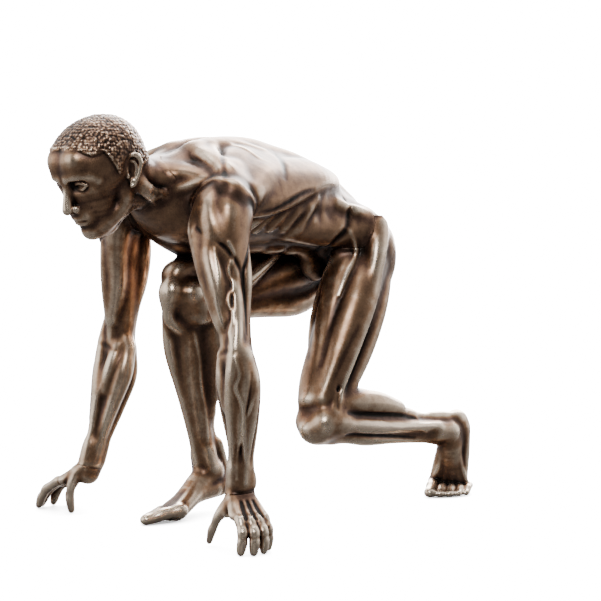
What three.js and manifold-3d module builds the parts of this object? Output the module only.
// Figure trophy: a bronze sprinter crouched at the start line, built from hollow-drilled castings
// that are pinned and bonded together over bent steel armature rods.
// Units are millimetres and +Z is up. The runner faces -X, so the runner's left side is -Y.
// The castings meet at seams hidden in the folds at the neck, shoulders, wrists and hips.
import * as THREE from "three";
import { mergeVertices } from "three/addons/utils/BufferGeometryUtils.js";
import Module from "manifold-3d";

const wasm = await Module();
wasm.setup();
const vec = (x, y, z) => new THREE.Vector3(x, y, z);
const toward = (a, b) => b.clone().sub(a).normalize();

// ---- Driving dimensions: the pose ----
const SHOULDER_HEIGHT = 136; // shoulder joints above the ground
const SHOULDER_SPREAD = 71; // from one shoulder joint to the other
const HIP_HEIGHT = 114; // hip joints above the ground
const HIP_SPREAD = 34; // from one hip joint to the other
const TRUNK_LENGTH = 95; // along X, from the shoulder joints back to the hip joints
const FRONT_KNEE_HEIGHT = 97;
const REAR_KNEE_HEIGHT = 42;
const WRIST_HEIGHT = 22;

// ---- Driving dimensions: the build of the body ----
const HEAD_HEIGHT = 47; // chin to crown
const HEAD_WIDTH = 32;
const NECK_RADIUS = 11.5;
const CHEST_WIDTH = 65;
const CHEST_DEPTH = 47;
const WAIST_WIDTH = 51;
const WAIST_DEPTH = 37;
const PELVIS_WIDTH = 58;
const PELVIS_DEPTH = 40;
const UPPER_ARM_RADIUS = 9.4;
const FOREARM_RADIUS = 8.4;
const WRIST_RADIUS = 5.2;
const PALM_LENGTH = 17.5;
const PALM_WIDTH = 17;
const FINGER_RADIUS = 2.1;
const THIGH_RADIUS = 17;
const FRONT_THIGH_HANG = 6; // the raised thigh's flesh hangs this far below its bone
const KNEE_RADIUS = 11.6;
const CALF_RADIUS = 11;
const ANKLE_RADIUS = 6.6;
const FOOT_WIDTH = 19.5;

// ---- Driving dimensions: what holds the castings together ----
const BOND_GAP = 0.3; // epoxy between two castings, and round every rod and pin
const ARM_ROD_RADIUS = 1.25;
const LEG_ROD_RADIUS = 2;
const NECK_DOWEL_RADIUS = 2;
const NECK_DOWEL_LENGTH = 24;
const KEY_PIN_RADIUS = 0.8; // the small pin beside each rod, which stops the casting from turning
const KEY_PIN_LENGTH = 9;
const WRIST_PIN_LENGTH = 6;
const SOCKET_DEPTH = 14; // how far a limb's rod reaches into the torso

// ---- Joint centres ----
const SHOULDER_X = -46;
const HIP_X = SHOULDER_X + TRUNK_LENGTH;
const joint = {
  leftShoulder: vec(SHOULDER_X, -SHOULDER_SPREAD / 2, SHOULDER_HEIGHT),
  rightShoulder: vec(SHOULDER_X + 2, SHOULDER_SPREAD / 2, SHOULDER_HEIGHT),
  leftElbow: vec(-56, -49, (SHOULDER_HEIGHT + WRIST_HEIGHT) / 2 - 4),
  rightElbow: vec(-44, 42, (SHOULDER_HEIGHT + WRIST_HEIGHT) / 2 - 7),
  leftWrist: vec(-54, -49, WRIST_HEIGHT),
  rightWrist: vec(-56, 46, WRIST_HEIGHT - 1),
  leftHip: vec(HIP_X, -HIP_SPREAD / 2, HIP_HEIGHT),
  rightHip: vec(HIP_X, HIP_SPREAD / 2, HIP_HEIGHT),
  frontKnee: vec(-34, 6, FRONT_KNEE_HEIGHT),
  frontAnkle: vec(-15, 13, 18.5),
  rearKnee: vec(12, -26, REAR_KNEE_HEIGHT),
  rearAnkle: vec(90, -30.4, 29.3),
  neckBase: vec(SHOULDER_X - 6, 0, SHOULDER_HEIGHT + 8),
  headCentre: vec(SHOULDER_X - 39, 0, SHOULDER_HEIGHT + 11),
};

// ---- Shapes: each is a function that takes how far to grow it and returns its geometry ----

// Oval rings along a smooth curve. Each station is [centre, half width, half depth]; depth runs
// along `front`, and width across it. Both ends are domed.
function loft(stations, front, { sides = 12, steps = 2, dome = 0.7 } = {}) {
  const centres = new THREE.CatmullRomCurve3(stations.map(([p]) => p));
  const ovals = new THREE.CatmullRomCurve3(stations.map(([, w, d]) => vec(w, d ?? w, 0)));
  const count = (stations.length - 1) * steps;
  return (grow) => {
    const rings = [];
    for (let i = 0; i <= count; i++) {
      const oval = ovals.getPoint(i / count);
      const ring = { w: oval.x + grow, d: oval.y + grow };
      rings.push({ ...ring, at: centres.getPoint(i / count), run: centres.getTangent(i / count) });
    }
    const start = domeRings(rings[0], -dome).reverse();
    return ringSolid([...start, ...rings, ...domeRings(rings[count], dome)], front, sides);
  };
}

// The two shrinking rings and the tip that close one end of a loft.
function domeRings({ at, run, w, d }, dome) {
  return [30, 62, 90].map((degrees) => {
    const angle = THREE.MathUtils.degToRad(degrees);
    const reach = (dome * Math.sin(angle) * (w + d)) / 2;
    const shrink = degrees === 90 ? 0 : Math.cos(angle);
    return { at: at.clone().addScaledVector(run, reach), run, w: w * shrink, d: d * shrink };
  });
}

// Joins a row of oval rings into a closed geometry; the first and last are shrunk to points.
function ringSolid(rings, front, sides) {
  const points = [];
  const faces = [];
  rings.forEach(({ at, run, w, d }) => {
    const across = run.clone().cross(front).normalize();
    const depth = across.clone().cross(run).normalize();
    for (let s = 0; s < sides; s++) {
      const turn = (2 * Math.PI * s) / sides;
      const p = at.clone().addScaledVector(across, w * Math.cos(turn));
      p.addScaledVector(depth, d * Math.sin(turn));
      points.push(p.x, p.y, p.z);
    }
  });
  for (let r = 0; r + 1 < rings.length; r++)
    for (let s = 0; s < sides; s++) {
      const a = r * sides + s;
      const b = r * sides + ((s + 1) % sides);
      faces.push(a, b, b + sides, a, b + sides, a + sides);
    }
  const geometry = new THREE.BufferGeometry();
  geometry.setAttribute("position", new THREE.Float32BufferAttribute(points, 3));
  geometry.setIndex(faces);
  return geometry;
}

// A round rod along straight stretches, with flat ends and a mitre at each bend.
function rod(points, radius, sides = 10) {
  return (grow) => {
    const rings = points.map((at, i) => {
      const before = i ? toward(points[i - 1], at) : null;
      const after = i + 1 < points.length ? toward(at, points[i + 1]) : null;
      const run = (before ?? after).clone().add(after ?? before).normalize();
      return { at: at.clone(), run, w: radius + grow, d: radius + grow };
    });
    rings[0].at.addScaledVector(rings[0].run, -grow);
    rings.at(-1).at.addScaledVector(rings.at(-1).run, grow);
    const flat = (ring) => ({ ...ring, w: 0, d: 0 });
    return ringSolid([flat(rings[0]), ...rings, flat(rings.at(-1))], vec(0.1, 1, 0.05), sides);
  };
}

// An oval ball with its axes along X, Y and Z.
const ball = (at, x, y = x, z = x) => (grow) =>
  new THREE.SphereGeometry(1, 14, 8).scale(x + grow, y + grow, z + grow).translate(at.x, at.y, at.z);

// ---- Solids ----

// A geometry as a manifold-3d solid.
function solid(geometry) {
  const bare = geometry.index ? geometry.toNonIndexed() : geometry.clone();
  bare.deleteAttribute("normal");
  bare.deleteAttribute("uv");
  const merged = mergeVertices(bare, 1e-3);
  const index = merged.index.array;
  const kept = [];
  for (let i = 0; i < index.length; i += 3) {
    const [a, b, c] = index.slice(i, i + 3);
    if (a !== b && b !== c && c !== a) kept.push(a, b, c);
  }
  const mesh = new wasm.Mesh({
    numProp: 3,
    vertProperties: merged.attributes.position.array,
    triVerts: new Uint32Array(kept),
  });
  const made = new wasm.Manifold(mesh);
  return made.volume() < 0 ? turnedOut(merged, kept) : made;
}

// The same solid with its faces reversed.
function turnedOut(merged, kept) {
  for (let i = 0; i < kept.length; i += 3) [kept[i], kept[i + 1]] = [kept[i + 1], kept[i]];
  const vertProperties = merged.attributes.position.array;
  return new wasm.Manifold(new wasm.Mesh({ numProp: 3, vertProperties, triVerts: new Uint32Array(kept) }));
}

const union = (shapes, grow = 0) =>
  shapes.map((shape) => solid(shape(grow))).reduce((all, one) => all.add(one));

// A large block whose near face lies `offset` past `at`, on the side that `normal` points to.
function blockBeyond(at, normal, offset, reach = 500) {
  const block = new THREE.BoxGeometry(reach, reach, reach).translate(0, 0, reach / 2 + offset);
  const turn = new THREE.Quaternion().setFromUnitVectors(vec(0, 0, 1), normal.clone().normalize());
  return solid(block.applyQuaternion(turn).translate(at.x, at.y, at.z));
}

// ---- Bones ----

// A bone's own axes: a point is given by its share along the bone and its offsets outward and frontward.
class Bone {
  constructor(from, to, front, outward) {
    this.from = from;
    this.to = to;
    this.run = to.clone().sub(from);
    this.length = this.run.length();
    this.run.normalize();
    this.front = front.clone().addScaledVector(this.run, -front.dot(this.run)).normalize();
    this.out = this.front.clone().cross(this.run);
    if (this.out.dot(outward) < 0) this.out.negate();
  }

  at(along, out = 0, front = 0) {
    return this.from
      .clone()
      .addScaledVector(this.run, along * this.length)
      .addScaledVector(this.out, out)
      .addScaledVector(this.front, front);
  }
}

const FORWARD = vec(-1, 0, 0);
const UP = vec(0, 0, 1);

// ---- Arm and hand ----

function armShapes(upper, fore) {
  const u = UPPER_ARM_RADIUS;
  const f = FOREARM_RADIUS;
  const w = WRIST_RADIUS;
  const core = loft(
    [
      [upper.at(0.04), 0.9 * u, u],
      [upper.at(0.35), 0.95 * u, u],
      [upper.at(0.75), 0.88 * u, 0.9 * u],
      [fore.at(0.02), 0.8 * f, 0.86 * f],
      [fore.at(0.2), 0.93 * f, f],
      [fore.at(0.45), 0.84 * f, 0.9 * f],
      [fore.at(0.75), 0.86 * w, 1.12 * w],
      [fore.at(1.08), 0.8 * w, 1.16 * w],
    ],
    upper.front,
  );
  const deltoid = loft(
    [
      [upper.at(-0.03, 0.1 * u, 0.15 * u), 0.85 * u, 1.15 * u],
      [upper.at(0.12, 0.36 * u, 0.2 * u), 0.85 * u, 1.2 * u],
      [upper.at(0.33, 0.32 * u, 0.12 * u), 0.6 * u, 0.85 * u],
      [upper.at(0.5, 0.3 * u), 0.4 * u, 0.45 * u],
    ],
    upper.front,
  );
  const biceps = loft(
    [
      [upper.at(0.2, -0.1 * u, 0.35 * u), 0.5 * u, 0.5 * u],
      [upper.at(0.55, -0.1 * u, 0.52 * u), 0.66 * u, 0.6 * u],
      [upper.at(0.85, -0.1 * u, 0.4 * u), 0.42 * u, 0.4 * u],
    ],
    upper.front,
    { sides: 10 },
  );
  const triceps = loft(
    [
      [upper.at(0.15, 0.1 * u, -0.45 * u), 0.55 * u, 0.5 * u],
      [upper.at(0.5, 0.1 * u, -0.6 * u), 0.7 * u, 0.6 * u],
      [upper.at(0.92, 0, -0.42 * u), 0.42 * u, 0.38 * u],
    ],
    upper.front,
    { sides: 10 },
  );
  return [core, deltoid, biceps, triceps];
}

// A finger from its knuckle to its tip, bowed away from the ground.
function finger(knuckle, tip, bow, radius) {
  const along = (share, lift) => knuckle.clone().lerp(tip, share).addScaledVector(bow, lift);
  const stations = [
    [along(-0.1, -0.3), radius * 1.1],
    [along(0.45, 1.4), radius],
    [along(0.75, 0.8), radius * 0.92],
    [along(1, 0), radius * 0.85],
  ];
  return loft(stations, bow, { sides: 8 });
}

// The palm and five digits of a hand that stands on its fingertips at the end of the forearm `fore`.
// `palmRun` points from the wrist to the knuckles and `across` from the little finger to the index.
// `tips` are where the index, middle, ring and little fingers touch the ground, measured from the
// wrist, and `thumb` is where the thumb does.
function handShapes(fore, palmRun, across, tips, thumb) {
  const wrist = fore.to;
  const r = FINGER_RADIUS;
  const w = WRIST_RADIUS;
  const back = across.clone().cross(palmRun).normalize();
  if (back.z < 0) back.negate();
  const ground = ([x, y], radius) => vec(wrist.x + x, wrist.y + y, 0.4 * radius);
  const knuckles = [0.96, 1, 0.97, 0.9].map((share, i) =>
    wrist
      .clone()
      .addScaledVector(palmRun, share * PALM_LENGTH)
      .addScaledVector(across, (0.37 - 0.25 * i) * PALM_WIDTH),
  );
  const palmEnd = knuckles[1].clone().lerp(knuckles[2], 0.5);
  const palm = loft(
    [
      [fore.at(0.93), 1.14 * w, 0.8 * w],
      [fore.at(1.02), 1.17 * w, 0.8 * w],
      [wrist.clone().lerp(palmEnd, 0.35), 1.3 * w, 0.72 * w],
      [wrist.clone().lerp(palmEnd, 0.65), 0.47 * PALM_WIDTH, 0.62 * w],
      [palmEnd, 0.5 * PALM_WIDTH, 0.46 * w],
    ],
    back,
    { dome: 0.4 },
  );
  const fingers = knuckles.map((k, i) => finger(k, ground(tips[i], r), back, i === 3 ? 0.86 * r : r));
  const thumbTip = ground(thumb, 1.15 * r);
  const root = wrist.clone().lerp(knuckles[0], 0.3).addScaledVector(across, 0.12 * PALM_WIDTH);
  const thumbShape = loft(
    [
      [root, 2 * r],
      [root.clone().lerp(thumbTip, 0.45).addScaledVector(FORWARD, 0.7 * r), 1.55 * r],
      [root.clone().lerp(thumbTip, 0.75).addScaledVector(FORWARD, 0.5 * r), 1.15 * r],
      [thumbTip, r],
    ],
    FORWARD,
    { sides: 10 },
  );
  return [palm, ...fingers, thumbShape];
}

// ---- Leg and foot ----

// A thigh, knee and shin. `hang` is how far a raised thigh's flesh hangs below its bone.
function legShapes(thigh, shin, hang) {
  const t = THIGH_RADIUS;
  const k = KNEE_RADIUS;
  const c = CALF_RADIUS;
  const a = ANKLE_RADIUS;
  const thighCore = loft(
    [
      [thigh.at(-0.05, 0.1 * t, -0.6 * hang), t, t + 0.3 * hang],
      [thigh.at(0.2, 0.12 * t, -hang), t, 1.05 * t + 0.4 * hang],
      [thigh.at(0.5, 0.08 * t, -hang), 0.9 * t, 0.97 * t + 0.4 * hang],
      [thigh.at(0.78, 0, -0.5 * hang), 0.72 * t, 0.76 * t + 0.2 * hang],
      [thigh.at(0.98), k, 1.02 * k],
    ],
    thigh.front,
    { sides: 16 },
  );
  const kneeCap = ball(shin.at(0, 0, 0.2 * k), 0.92 * k, 0.86 * k, 0.92 * k);
  const shinCore = loft(
    [
      [shin.at(0.0, 0, -0.05 * k), 0.95 * k, 0.95 * k],
      [shin.at(0.14, 0.02 * c, -0.1 * c), 0.95 * c, 1.02 * c],
      [shin.at(0.32, 0.02 * c, -0.22 * c), 1.02 * c, 1.04 * c],
      [shin.at(0.55, 0, -0.12 * c), 0.8 * c, 0.85 * c],
      [shin.at(0.8, 0, -0.02 * c), 0.95 * a, 1.05 * a],
      [shin.at(1.0, 0, 0), a, a],
    ],
    shin.front,
  );
  return [thighCore, kneeCap, shinCore];
}

// A foot from the heel to the toes. `rise` is the direction from the sole to the instep at the heel,
// and the toes lie flat on the ground pointing along `toeRun`.
function footShapes(ankle, heel, ballOfFoot, rise, toeRun) {
  const w = FOOT_WIDTH / 2;
  const a = ANKLE_RADIUS;
  const body = loft(
    [
      [heel, 0.62 * w, 0.66 * w],
      [heel.clone().lerp(ballOfFoot, 0.35).addScaledVector(rise, 0.3 * w), 0.68 * w, 0.75 * w],
      [heel.clone().lerp(ballOfFoot, 0.75).addScaledVector(rise, 0.08 * w), 0.9 * w, 0.56 * w],
      [ballOfFoot, 0.98 * w, 0.42 * w],
    ],
    rise,
    { dome: 0.6 },
  );
  const instep = loft(
    [
      [ankle, a, a],
      [ankle.clone().lerp(ballOfFoot, 0.4).addScaledVector(rise, 0.12 * w), 0.66 * w, 0.42 * w],
      [ankle.clone().lerp(ballOfFoot, 0.75), 0.7 * w, 0.36 * w],
    ],
    rise,
  );
  const heelCord = loft([[ankle, 0.9 * a], [ankle.clone().lerp(heel, 0.6), 0.8 * a]], toeRun, { sides: 12 });
  return [body, instep, heelCord];
}

// Five toes from the ball of the foot, the big toe first, on the side that `inward` points to.
function toes(ballOfFoot, toeRun, inward) {
  const w = FOOT_WIDTH / 2;
  return [0, 1, 2, 3, 4].map((i) => {
    const radius = i === 0 ? 0.27 * w : (0.185 - 0.01 * i) * w;
    const across = (0.66 - 0.38 * i + (i ? -0.03 : 0)) * w;
    const reach = (1.5 - 0.13 * i - 0.03 * i * i) * w;
    const root = ballOfFoot.clone().addScaledVector(inward, across).setZ(1.1 * radius + 0.1 * w);
    const tip = root.clone().addScaledVector(toeRun, reach).setZ(radius * 0.8);
    return loft([[root, radius * 1.2], [root.clone().lerp(tip, 0.55), radius], [tip, radius]], UP, { sides: 8 });
  });
}

// ---- Trunk and head ----

// The trunk's centreline is measured from the shoulder line to the hip line, and lifted above it.
const trunkAt = (share, lift) =>
  vec(SHOULDER_X + share * TRUNK_LENGTH, 0, THREE.MathUtils.lerp(SHOULDER_HEIGHT, HIP_HEIGHT, share) + lift);

function trunkShapes() {
  const cw = CHEST_WIDTH / 2;
  const cd = CHEST_DEPTH / 2;
  const ww = WAIST_WIDTH / 2;
  const wd = WAIST_DEPTH / 2;
  const pw = PELVIS_WIDTH / 2;
  const pd = PELVIS_DEPTH / 2;
  const barrel = loft(
    [
      [trunkAt(-0.1, 2), 0.62 * cw, 0.55 * cd],
      [trunkAt(0.08, 2), 0.9 * cw, cd],
      [trunkAt(0.32, 9), cw, cd],
      [trunkAt(0.52, 12), 0.9 * cw, 0.92 * cd],
      [trunkAt(0.72, 13.5), ww, wd],
      [trunkAt(0.9, 10), 0.97 * pw, 0.98 * pd],
      [trunkAt(1.04, 2), 0.95 * pw, pd],
      [trunkAt(1.12, -8), 0.8 * pw, 0.8 * pd],
    ],
    UP,
    { sides: 18 },
  );
  const yoke = loft(
    [-1, -0.5, 0, 0.5, 1].map((s) => [
      vec(SHOULDER_X + 2, (s * SHOULDER_SPREAD) / 2, SHOULDER_HEIGHT + 7 - 5 * s * s),
      (1 - 0.25 * s * s) * 0.62 * cd,
      (1 - 0.2 * s * s) * 0.5 * cd,
    ]),
    UP,
  );
  const pectorals = [-1, 1].map((s) =>
    loft(
      [
        [vec(SHOULDER_X + 1, 0.14 * s * CHEST_WIDTH, SHOULDER_HEIGHT - 0.32 * CHEST_DEPTH), 0.4 * cw, 0.3 * cd],
        [vec(SHOULDER_X - 2, 0.42 * s * CHEST_WIDTH, SHOULDER_HEIGHT - 0.2 * CHEST_DEPTH), 0.3 * cw, 0.3 * cd],
      ],
      UP,
    ),
  );
  const buttocks = [-1, 1].map((s) =>
    ball(vec(HIP_X + 0.1 * PELVIS_DEPTH, 0.45 * s * HIP_SPREAD, HIP_HEIGHT - 7), 0.95 * pd, 0.5 * pw, 0.95 * pd),
  );
  return [barrel, yoke, ...pectorals, ...buttocks];
}

// The head's own axes: `up` runs from the chin to the crown, and `face` the way the face looks.
const HEAD_PITCH = THREE.MathUtils.degToRad(24); // the face looks this far below level
const headUp = vec(-Math.sin(HEAD_PITCH), 0, Math.cos(HEAD_PITCH));
const headFace = vec(-Math.cos(HEAD_PITCH), 0, -Math.sin(HEAD_PITCH));
const headAt = (up, face, side = 0) =>
  joint.headCentre
    .clone()
    .addScaledVector(headUp, up * HEAD_HEIGHT)
    .addScaledVector(headFace, face * HEAD_HEIGHT)
    .add(vec(0, side * HEAD_WIDTH, 0));

function headShapes() {
  const h = HEAD_HEIGHT;
  const w = HEAD_WIDTH / 2;
  const skull = loft(
    [
      [headAt(0.14, -0.3), 0.72 * w, 0.26 * h],
      [headAt(0.15, -0.1), w, 0.33 * h],
      [headAt(0.15, 0.1), 0.94 * w, 0.32 * h],
      [headAt(0.13, 0.28), 0.74 * w, 0.24 * h],
    ],
    headUp,
    { sides: 16, dome: 0.5 },
  );
  const face = loft(
    [
      [headAt(0.2, 0.16), 0.78 * w, 0.2 * h],
      [headAt(-0.05, 0.17), 0.8 * w, 0.23 * h],
      [headAt(-0.25, 0.18), 0.62 * w, 0.2 * h],
      [headAt(-0.39, 0.22), 0.5 * w, 0.15 * h],
    ],
    headFace,
    { dome: 0.45 },
  );
  const jaw = loft(
    [
      [headAt(-0.12, -0.02), 0.78 * w, 0.17 * h],
      [headAt(-0.28, 0.05), 0.66 * w, 0.16 * h],
    ],
    headFace,
  );
  const nose = loft(
    [
      [headAt(0.07, 0.38), 0.07 * h, 0.05 * h],
      [headAt(-0.06, 0.45), 0.09 * h, 0.09 * h],
    ],
    headFace,
    { sides: 8 },
  );
  const ears = [-0.47, 0.47].map((s) => ball(headAt(0, -0.04, s), 0.065 * h, 0.04 * h, 0.12 * h));
  const neck = loft(
    [
      [headAt(-0.05, -0.12), NECK_RADIUS, 1.1 * NECK_RADIUS],
      [headAt(-0.25, -0.3), 1.02 * NECK_RADIUS, 1.1 * NECK_RADIUS],
      [joint.neckBase.clone().add(vec(8, 0, -1)), 1.3 * NECK_RADIUS, 1.15 * NECK_RADIUS],
    ],
    UP,
  );
  return [skull, face, jaw, nose, ...ears, neck];
}

// ---- Bones of the limbs ----
const LEFT = vec(0, -1, 0);
const RIGHT = vec(0, 1, 0);
const leftUpperArm = new Bone(joint.leftShoulder, joint.leftElbow, FORWARD, LEFT);
const leftForearm = new Bone(joint.leftElbow, joint.leftWrist, FORWARD, LEFT);
const rightUpperArm = new Bone(joint.rightShoulder, joint.rightElbow, FORWARD, RIGHT);
const rightForearm = new Bone(joint.rightElbow, joint.rightWrist, FORWARD, RIGHT);
const frontThigh = new Bone(joint.rightHip, joint.frontKnee, UP, RIGHT);
const frontShin = new Bone(joint.frontKnee, joint.frontAnkle, FORWARD, RIGHT);
const rearThigh = new Bone(joint.leftHip, joint.rearKnee, FORWARD, LEFT);
const rearShin = new Bone(joint.rearKnee, joint.rearAnkle, vec(-0.3, 0, -1), LEFT);

const leftArm = armShapes(leftUpperArm, leftForearm);
const rightArm = armShapes(rightUpperArm, rightForearm);
const leftPalmRun = vec(-0.22, -0.76, -0.6).normalize();
const rightPalmRun = vec(-0.1, 0.86, -0.5).normalize();
const leftTips = [[-9.3, -13], [-5.7, -17], [1, -16], [7.5, -12]];
const rightTips = [[-8, 26], [-4.5, 28.5], [1, 27.5], [6, 23]];
const leftAcross = vec(-0.93, 0.3, 0.05).normalize();
const rightAcross = vec(-0.97, -0.15, 0.05).normalize();
const leftHand = handShapes(leftForearm, leftPalmRun, leftAcross, leftTips, [-7, 10]);
const rightHand = handShapes(rightForearm, rightPalmRun, rightAcross, rightTips, [-5, 6]);

const frontBall = vec(-38, 11.5, 3.8);
const frontHeel = vec(-10, 14, 12);
const frontToeRun = vec(-0.94, 0.34, 0).normalize();
const frontLeg = [
  ...legShapes(frontThigh, frontShin, FRONT_THIGH_HANG),
  ...footShapes(joint.frontAnkle, frontHeel, frontBall, vec(0.35, 0, 1).normalize(), frontToeRun),
  ...toes(frontBall, frontToeRun, vec(-0.34, -0.94, 0)),
];
const rearBall = vec(94.5, -27.5, 5.6);
const rearHeel = vec(98, -29.5, 33.6);
const rearToeRun = vec(-0.84, -0.54, 0).normalize();
const rearLeg = [
  ...legShapes(rearThigh, rearShin, 0),
  ...footShapes(joint.rearAnkle, rearHeel, rearBall, vec(-0.9, -0.45, 0.2).normalize(), rearToeRun),
  ...toes(rearBall, rearToeRun, vec(-0.54, 0.84, 0)),
];

// ---- Seams: where two castings meet ----
// `at` is the plane's centre, `normal` points to the outer casting, and the key pin stands
// `keyOffset` to the `key` side of the rod.
const shoulderSeam = (shoulder, side) => ({
  at: shoulder.clone().add(vec(0, -3.5 * side, -2)),
  normal: vec(-0.12, 0.9 * side, -0.4).normalize(),
  key: FORWARD,
  keyOffset: 5,
});
const wristSeam = (forearm) => ({ at: forearm.at(0.98), normal: forearm.run, key: FORWARD, keyOffset: 3.2 });
const seams = {
  neck: {
    at: joint.neckBase,
    normal: toward(joint.neckBase, headAt(-0.25, -0.3)),
    key: LEFT,
    keyOffset: 5,
  },
  left_shoulder: shoulderSeam(joint.leftShoulder, -1),
  right_shoulder: shoulderSeam(joint.rightShoulder, 1),
  left_wrist: wristSeam(leftForearm),
  right_wrist: wristSeam(rightForearm),
  front_hip: { at: frontThigh.at(0.06), normal: vec(-0.72, 0.3, -0.55).normalize(), key: RIGHT, keyOffset: 7 },
  rear_hip: { at: rearThigh.at(0.1), normal: vec(0, -0.5, -0.87).normalize(), key: FORWARD, keyOffset: 7 },
};

// ---- Rods and pins ----
const socketEnd = (bone, inward) => bone.from.clone().addScaledVector(inward.normalize(), SOCKET_DEPTH);
const armRod = (upper, fore, palmRun, inward) =>
  rod(
    [
      fore.to.clone().addScaledVector(palmRun, 0.55 * PALM_LENGTH),
      fore.to,
      fore.from,
      upper.from,
      socketEnd(upper, inward),
    ],
    ARM_ROD_RADIUS,
  );
const legRod = (thigh, shin, footEnd, inward) =>
  rod([footEnd, shin.to, shin.from, thigh.from, socketEnd(thigh, inward)], LEG_ROD_RADIUS);
const seamPin = ({ at, normal, key, keyOffset }, radius, length) => {
  const side = key.clone().addScaledVector(normal, -key.dot(normal)).normalize();
  const middle = at.clone().addScaledVector(side, keyOffset);
  const end = (s) => middle.clone().addScaledVector(normal, (s * length) / 2);
  return rod([end(-1), end(1)], radius);
};
const neckEnd = (s) => seams.neck.at.clone().addScaledVector(seams.neck.normal, (s * NECK_DOWEL_LENGTH) / 2);
const steel = {
  left_arm_armature: armRod(leftUpperArm, leftForearm, leftPalmRun, vec(0.6, 1, 0.1)),
  right_arm_armature: armRod(rightUpperArm, rightForearm, rightPalmRun, vec(0.6, -1, 0.1)),
  front_leg_armature: legRod(
    frontThigh,
    frontShin,
    frontHeel.clone().lerp(frontBall, 0.42),
    vec(-0.3, -0.4, 1),
  ),
  rear_leg_armature: legRod(rearThigh, rearShin, rearHeel.clone().lerp(rearBall, 0.4), vec(-0.3, 0.4, 1)),
  neck_dowel: rod([neckEnd(-1), neckEnd(1)], NECK_DOWEL_RADIUS),
};
for (const [name, seam] of Object.entries(seams)) {
  const length = name.endsWith("wrist") ? WRIST_PIN_LENGTH : KEY_PIN_LENGTH;
  steel[`${name}_key_pin`] = seamPin(seam, KEY_PIN_RADIUS, length);
}
const bores = union(Object.values(steel), BOND_GAP);

// ---- Castings ----
const beyond = (seam, offset) => blockBeyond(seam.at, seam.normal, offset);
const before = (seam) => blockBeyond(seam.at, seam.normal.clone().negate(), 0);
// The part of a limb past its seam: the limb itself, or grown to hollow out its seat in the trunk.
const limb = (shapes, seam) => union(shapes).intersect(beyond(seam, BOND_GAP));
const seat = (shapes, seam) => union(shapes, BOND_GAP).intersect(beyond(seam, 0));

const head = limb(headShapes(), seams.neck);
const leftArmSolid = limb(leftArm, seams.left_shoulder);
const rightArmSolid = limb(rightArm, seams.right_shoulder);
const frontLegSolid = limb(frontLeg, seams.front_hip);
const rearLegSolid = limb(rearLeg, seams.rear_hip);
const torso = union(trunkShapes())
  .subtract(seat(headShapes(), seams.neck))
  .subtract(seat(leftArm, seams.left_shoulder))
  .subtract(seat(rightArm, seams.right_shoulder))
  .subtract(seat(frontLeg, seams.front_hip))
  .subtract(seat(rearLeg, seams.rear_hip));
const castings = {
  head_casting: head,
  torso_casting: torso,
  left_arm_casting: leftArmSolid.intersect(before(seams.left_wrist)),
  right_arm_casting: rightArmSolid.intersect(before(seams.right_wrist)),
  left_hand_casting: limb(leftHand, seams.left_wrist),
  right_hand_casting: limb(rightHand, seams.right_wrist),
  front_leg_casting: frontLegSolid,
  rear_leg_casting: rearLegSolid.subtract(seat(frontLeg, seams.front_hip)),
};

// ---- Assembly ----
const largest = (made) => made.decompose().sort((a, b) => b.volume() - a.volume())[0];
const belowGround = blockBeyond(vec(0, 0, 0), vec(0, 0, -1), 0);
const group = new THREE.Group();
function addPiece(name, made, color, metalness, roughness) {
  const mesh = made.getMesh();
  const geometry = new THREE.BufferGeometry();
  geometry.setAttribute("position", new THREE.Float32BufferAttribute(mesh.vertProperties, 3));
  geometry.setIndex(Array.from(mesh.triVerts));
  geometry.computeVertexNormals();
  const piece = new THREE.Mesh(geometry, new THREE.MeshStandardMaterial({ color, metalness, roughness }));
  piece.name = name;
  group.add(piece);
}
for (const [name, casting] of Object.entries(castings)) {
  addPiece(name, largest(casting.subtract(belowGround).subtract(bores)), 0x6b4a2a, 0.8, 0.35);
}
for (const [name, shape] of Object.entries(steel)) addPiece(name, solid(shape(0)), 0x9a9ca0, 1, 0.4);

// The origin is the middle of the assembly's footprint, on the ground.
const size = new THREE.Box3().setFromObject(group);
const middle = size.getCenter(vec(0, 0, 0));
group.children.forEach((piece) => piece.geometry.translate(-middle.x, -middle.y, -size.min.z));

export default group;
